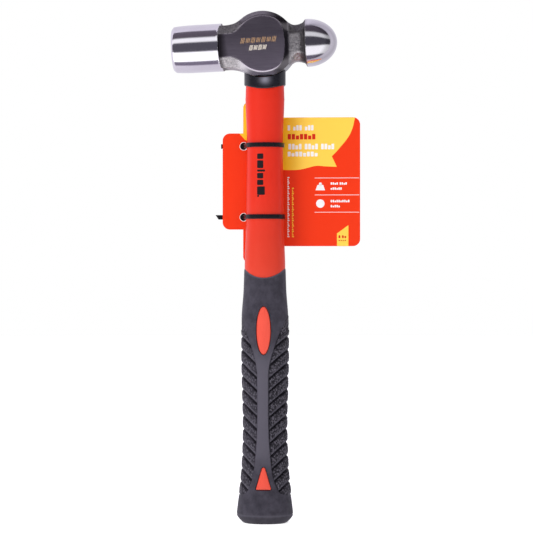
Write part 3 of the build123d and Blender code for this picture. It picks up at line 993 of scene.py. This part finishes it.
def jacket_mark():
    """Generic column of plain blocks printed down the front of the jacket."""
    pieces = []
    z = BLOCK_TOP
    for length, half in ((3.5, 2.0), (5.0, 2.0), (1.3, 2.6), (3.5, 2.0), (3.3, 2.0), (5.4, 2.5)):
        cx = BLOCK_X + (half - BLOCK_HALF)
        pieces.append(wrapped(round_bar(cx, z - length / 2, 2 * half, length, 0.6, 5), jacket_width))
        z -= length + BLOCK_GAP
    pieces.append(wrapped(round_bar(DOT_X, DOT_Z, DOT_SIZE, DOT_SIZE, 0.5, 5), jacket_width))
    merged("jacket_mark", pieces, mark_black)


jacket_mark()


# ---------------------------------------------------------------- card print
def flat_prints(name, outlines, proud, material):
    """Ink on the front of the card, a hair proud of it."""
    pieces = [prism(outline, CARD_FRONT - proud, CARD_FRONT + 0.1) for outline in outlines]
    merged(name, pieces, material)


def arc_points(cx, cz, radius, start, end, steps):
    return [(cx + radius * math.cos(math.radians(start + (end - start) * i / steps)),
             cz + radius * math.sin(math.radians(start + (end - start) * i / steps)))
            for i in range(steps + 1)]


def words(x, z, height, lengths, gap=1.5, letter=1.35, space=0.4):
    """A greeked line: words of plain blocks, one block for each letter."""
    blocks = []
    for count in lengths:
        for i in range(count):
            tall = height * (1.0 if (i * 7 + count) % 3 else 0.72)
            blocks.append(round_bar(x + letter / 2, z + tall / 2, letter, tall, 0.3, 3))
            x += letter + space
        x += gap
    return blocks


def smooth_path(points, steps=6):
    """Smooth open line through a few points."""
    p = [Vector(q) for q in points]
    p = [2 * p[0] - p[1]] + p + [2 * p[-1] - p[-2]]
    out = []
    for i in range(1, len(p) - 2):
        for k in range(steps):
            t = k / steps
            q = 0.5 * (2 * p[i] + (p[i + 1] - p[i - 1]) * t
                       + (2 * p[i - 1] - 5 * p[i] + 4 * p[i + 1] - p[i + 2]) * t * t
                       + (3 * p[i] - p[i - 1] - 3 * p[i + 1] + p[i + 2]) * t ** 3)
            out.append(tuple(q))
    return out + [tuple(p[-2])]


FIELD_TOP, FIELD_LEFT, FIELD_CORNER_X = 261.65, -6.0, 57.55
TEXT_X, TEXT_INDENT_X, FEATURE_X, ICON_X = 13.9, 14.4, 41.8, 35.1
SIDE_TEXT_LOW, SIDE_TEXT_PITCH, SIDE_TEXT_YELLOW_X = 184.4, 1.16, 17.3
RULE_X, RULE_LENGTH, RULES = 45.9, 29.0, (222.4, 211.4, 200.2)
FEATURES = [(218.0, (4, 4)), (214.7, (6,)), (206.6, (10,)), (203.3, (5,))]
FLAG_X = 46.9
HOLE_RING_IN, HOLE_RING_OUT, HOLE_RING_PARTS = 2.42, 2.75, 28
KEYHOLE_RADIUS, KEYHOLE_SLIT = 2.6, 0.02


def side_text(x, count):
    """A greeked line that runs up the card, one short bar for each letter."""
    bars = []
    for i in range(count):
        z = SIDE_TEXT_LOW + SIDE_TEXT_PITCH * i
        bars.append(round_bar(x - 0.15 * (i % 3), z, 1.3 - 0.3 * (i % 3), 0.75, 0.25, 3))
    return bars


def yellow_print():
    """Yellow field with its wavy right edge, the strip left of the shaft, and small details."""
    edge = smooth_path([(57.5, 261.3), (55.9, 254.4), (52.8, 248.2), (47.3, 241.4), (42.6, 236.4)])
    edge += smooth_path([(45.8, 229.6), (38.5, 229.9), (32.0, 230.2), (22.1, 227.9), (12.0, 227.6),
                         (FIELD_LEFT, 228.5)])
    # keyhole round the upper right hole, with its slit behind the shaft
    keyhole = [(FIELD_LEFT, TIE_UPPER_Z - KEYHOLE_SLIT)]
    keyhole += arc_points(HOLE_RIGHT_X, TIE_UPPER_Z, KEYHOLE_RADIUS, 180.5, 539.5, 36)
    keyhole += [(FIELD_LEFT, TIE_UPPER_Z + KEYHOLE_SLIT)]
    field = [(FIELD_LEFT, FIELD_TOP), (FIELD_CORNER_X, FIELD_TOP)] + edge + keyhole
    left = [(-15.05, 268.0)] + arc_points(-11.1, 267.95, 3.95, 180, 90, 6)
    left += [(-5.0, 271.95), (-5.0, 246.0), (-11.6, 246.0), (-14.2, 247.6), (-17.6, 251.45),
             (-15.05, 251.45)]
    flag = [(45.9, 178.25), (53.3, 178.25), (53.3, 191.8), (45.9, 186.4)]
    flat_prints("print_yellow", [field, left, flag] + side_text(SIDE_TEXT_YELLOW_X, 28),
                0.04, card_yellow)


def hole_ring(hole_z):
    """Printed ring round a left hole of the card, in short parts that leave the hole free."""
    parts = []
    for i in range(HOLE_RING_PARTS):
        turn = 360 / HOLE_RING_PARTS * i
        corners = ((HOLE_RING_IN, turn), (HOLE_RING_OUT, turn),
                   (HOLE_RING_OUT, turn + 12.9), (HOLE_RING_IN, turn + 12.9))
        parts.append([(HOLE_LEFT_X + r * math.cos(math.radians(t)),
                       hole_z + r * math.sin(math.radians(t))) for r, t in corners])
    return parts


def white_print():
    """White greeked text, rules, two small icons and the rings round the left holes."""
    white = words(TEXT_X, 253.3, 3.4, (1, 3, 3), 1.6, 1.5, 0.5)
    white += words(TEXT_INDENT_X, 241.0, 3.6, (4, 4, 4), 1.6, 1.7, 0.55)
    white += words(TEXT_X, 236.4, 3.1, (8,), 0, 1.9, 0.6)
    white += side_text(TEXT_INDENT_X, 34)
    for z in RULES:
        white.append(round_bar(RULE_X, z, RULE_LENGTH, 0.3, 0.14, 2))
    for z, counts in FEATURES:
        white += words(FEATURE_X, z, 1.6, counts, 0.8, 0.95, 0.3)
    white.append([(32.0, 214.4), (38.2, 214.4), (37.0, 217.9), (33.2, 217.9)])
    white.append(arc_points(ICON_X, 218.5, 1.0, 0, 345, 18))
    white.append(arc_points(ICON_X, 205.8, 2.75, 0, 345, 28))
    white += hole_ring(TIE_UPPER_Z) + hole_ring(TIE_LOWER_Z)
    flat_prints("print_white", white, 0.08, card_white)


def red_print():
    red = words(TEXT_X, 247.4, 3.6, (7,), letter=2.1, space=0.55)
    red += words(FLAG_X, 183.4, 1.8, (1, 2), 0.6, 1.2, 0.4)
    red += words(FLAG_X, 181.6, 0.6, (4,), 0.5, 1.0, 0.3)
    flat_prints("print_red", red, 0.08, card_dark_red)


yellow_print()
white_print()
red_print()


# ---------------------------------------------------------------- cable ties
def tie_path(shaft_width, grow):
    """Closed path of the strap's middle line, counter-clockwise from the left hole."""
    rx, ry = shaft_width / 2 + TIE_GAP + grow, shaft_width / 2 * DEPTH_RATIO + TIE_GAP + grow
    back = CARD_BACK + TIE_GAP + grow
    left, right = HOLE_LEFT_X + TIE_THICK / 2 - grow, HOLE_RIGHT_X - TIE_THICK / 2 + grow
    points = [(left, back), (left, CARD_FRONT)]
    points += [(rx * math.cos(math.radians(a)), ry * math.sin(math.radians(a)))
               for a in np.linspace(178, 392, 72)]
    points += [(right, CARD_FRONT), (right, back)]
    return points


def resample(points, spacing):
    """The closed path with even spacing and its corners eased."""
    p = np.array(points + [points[0]], float)
    d = np.concatenate([[0], np.cumsum(np.hypot(*np.diff(p, axis=0).T))])
    n = int(d[-1] / spacing)
    s = np.linspace(0, d[-1], n, endpoint=False)
    q = np.stack([np.interp(s, d, p[:, 0]), np.interp(s, d, p[:, 1])], axis=1)
    for _ in range(5):
        q = (np.roll(q, 1, axis=0) + 2 * q + np.roll(q, -1, axis=0)) / 4
    return q


def tie_loop(shaft_width, height):
    """Strap round the shaft and through the card."""
    path = resample(tie_path(shaft_width, TIE_THICK / 2), 0.35)
    tangent = np.roll(path, -1, axis=0) - np.roll(path, 1, axis=0)
    tangent /= np.hypot(*tangent.T)[:, None]
    normal = np.stack([tangent[:, 1], -tangent[:, 0]], axis=1)
    half_width, half_thick, r = TIE_WIDTH / 2, TIE_THICK / 2, TIE_EDGE
    section = []
    for qa, qb, start in ((1, 1, 0), (-1, 1, 90), (-1, -1, 180), (1, -1, 270)):
        for i in range(4):
            a = math.radians(start + 90 * i / 3)
            section.append((qa * (half_thick - r) + r * math.cos(a),
                            qb * (half_width - r) + r * math.sin(a)))
    verts = []
    for point, outward in zip(path, normal):
        for a, b in section:
            x, y = point + outward * a
            verts.append((x, y, height + b))
    return verts, tube_faces(len(path), len(section), True)


def build_tie(name, node, height, shaft_width, tail_x, slant):
    """One tie: its loop, the locking head, and the toothed tail that leaves it to the left."""
    back = CARD_BACK + TIE_GAP
    low, high = height - TIE_WIDTH / 2, height + TIE_WIDTH / 2
    head = round_bar(TIE_HEAD_X, height, TIE_HEAD_LENGTH, TIE_HEAD_HEIGHT, 0.9, 5)
    tail = [(tail_x, low), (HOLE_LEFT_X, low), (HOLE_LEFT_X, high), (tail_x - slant, high)]
    parts = [tie_loop(shaft_width, height), prism(head, back + 0.02, back + TIE_HEAD_DEPTH),
             prism(tail, back, back + TIE_THICK)]
    teeth = int((HOLE_LEFT_X - 8.5 - tail_x) / TOOTH_PITCH)
    for i in range(teeth):
        x = tail_x + 0.8 + TOOTH_PITCH * i
        tooth = [(x, height - 0.9), (x + 0.45, height - 0.9), (x + 0.45, height + 0.9),
                 (x, height + 0.9)]
        parts.append(prism(tooth, back + TIE_THICK - 0.05, back + TIE_THICK + 0.18))
    obj = merged(name, parts, tie_black, smooth=True)
    sharpen(obj, 35)
    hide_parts(node)


build_tie("tie_upper_visual", "cable_tie_upper", TIE_UPPER_Z, 23.4, tail_x=-29.6, slant=0.0)
build_tie("tie_lower_visual", "cable_tie_lower", TIE_LOWER_Z, 24.5, tail_x=-31.2, slant=2.0)


# ---------------------------------------------------------------- studio
FLOOR_RADIUS = 4000.0


def build_floor():
    n = 96
    turns = [2 * math.pi * i / n for i in range(n)]
    verts = [(0.0, 0.0, 0.0)] + [(FLOOR_RADIUS * math.cos(a), FLOOR_RADIUS * math.sin(a), 0.0)
                                 for a in turns]
    faces = [(0, 1 + i, 1 + (i + 1) % n) for i in range(n)]
    mesh = bpy.data.meshes.new("floor")
    mesh.from_pydata([tuple(c * MM for c in v) for v in verts], [], faces)
    floor = bpy.data.objects.new("floor", mesh)
    bpy.context.scene.collection.objects.link(floor)
    m = Material("floor_white")
    m.set(Roughness=0.9, Base_Color=(0.9, 0.9, 0.9, 1), Specular_IOR_Level=0.0,
          Emission_Color=(1, 1, 1, 1), Emission_Strength=0.75)
    mesh.materials.append(m.mat)
    floor.visible_glossy = False


BAND_SPREAD = 0.45   # how far the bands of light keep apart towards the sides
# colours by angle in front of the hammer: 0 is level, 90 overhead, -90 below
BANDS = [(-180, (0.80, 0.78, 0.86)), (-96, (0.74, 0.70, 0.80)), (-88, (0.20, 0.17, 0.24)),
         (-70, (0.22, 0.20, 0.27)), (-64, (1.7, 1.7, 1.75)), (-24, (1.6, 1.6, 1.65)),
         (-16, (0.10, 0.095, 0.12)), (24, (0.09, 0.085, 0.11)), (31, (1.08, 1.08, 1.12)),
         (46, (1.08, 1.08, 1.12)), (54, (0.10, 0.085, 0.11)), (84, (0.13, 0.11, 0.145)),
         (97, (0.72, 0.68, 0.80)), (180, (0.80, 0.78, 0.86))]
# strength by heading: 0 is the front, 90 the right, -90 the left
LEVELS = [(-180, 1.0), (-120, 1.15), (-30, 1.1), (58, 1.0), (76, 0.6), (87, 0.45), (94, 0.85),
          (125, 0.66), (180, 0.95)]


def build_world():
    """White studio with dark bands in front, so that the steel shows long soft stripes."""
    world = bpy.data.worlds.new("studio")
    bpy.context.scene.world = world
    world.use_nodes = True
    w = Nodes(world.node_tree)
    w.nodes.clear()
    split = w.node("SeparateXYZ", Vector=w.node("TexCoord").outputs["Generated"])
    forward = w.math("MULTIPLY", split.outputs["Y"], -1.0)
    # towards the sides the bands draw together only slowly, and end where the light turns back
    aside = w.math("MULTIPLY", split.outputs["X"], BAND_SPREAD)
    squares = w.math("ADD", w.math("MULTIPLY", aside, aside), w.math("MULTIPLY", forward, forward))
    front = w.math("MULTIPLY", w.math("SQRT", squares), w.math("SIGN", forward))
    one_turn = 1 / (2 * math.pi)
    up = w.math("MULTIPLY_ADD", w.math("ARCTAN2", split.outputs["Z"], front), one_turn, 0.5)
    heading = w.math("ARCTAN2", split.outputs["X"], forward)
    heading = w.math("MULTIPLY_ADD", heading, one_turn, 0.5)
    greys = [(degrees, (level, level, level)) for degrees, level in LEVELS]
    light = w.node("Background", Color=w.ramp(up, BANDS), Strength=w.ramp(heading, greys))
    # the camera itself sees plain white
    plain = w.node("Background", Color=(1, 1, 1, 1), Strength=1.0)
    mix = w.node("MixShader", Fac=w.node("LightPath").outputs["Is Camera Ray"])
    w.link(light.outputs[0], mix.inputs[1])
    w.link(plain.outputs[0], mix.inputs[2])
    w.node("OutputWorld", Surface=mix.outputs[0])


def build_camera():
    """Level view, slightly from the right; the picture is view_width metres wide at the hammer."""
    distance, azimuth = 1.5, math.radians(4.4)
    view_height, view_width = 0.165, 0.3435
    data = bpy.data.cameras.new("camera")
    data.sensor_width = 36.0
    data.lens = 36.0 / 2 / (view_width / 2 / distance)
    camera = bpy.data.objects.new("camera", data)
    bpy.context.scene.collection.objects.link(camera)
    target = Vector((0.0010, 0.0, view_height))
    camera.location = target + distance * Vector((math.sin(azimuth), -math.cos(azimuth), 0))
    camera.rotation_mode = "QUATERNION"
    camera.rotation_quaternion = (target - camera.location).to_track_quat("-Z", "Y")
    data.clip_end = 20
    bpy.context.scene.camera = camera


def build_key_light():
    """Large soft light from the front left, seen neither directly nor as a reflection."""
    place, target = Vector((-0.75, -1.0, 0.55)), Vector((0.0, 0.0, 0.17))
    data = bpy.data.lights.new("key", "AREA")
    data.shape = "RECTANGLE"
    data.size, data.size_y = 0.6, 0.8
    data.energy = 7.0
    lamp = bpy.data.objects.new("key", data)
    bpy.context.scene.collection.objects.link(lamp)
    lamp.location = place
    lamp.rotation_mode = "QUATERNION"
    lamp.rotation_quaternion = (target - place).to_track_quat("-Z", "Y")
    lamp.visible_camera = False
    lamp.visible_glossy = False


build_floor()
build_world()
build_key_light()
build_camera()
bpy.context.scene.view_settings.view_transform = "Standard"
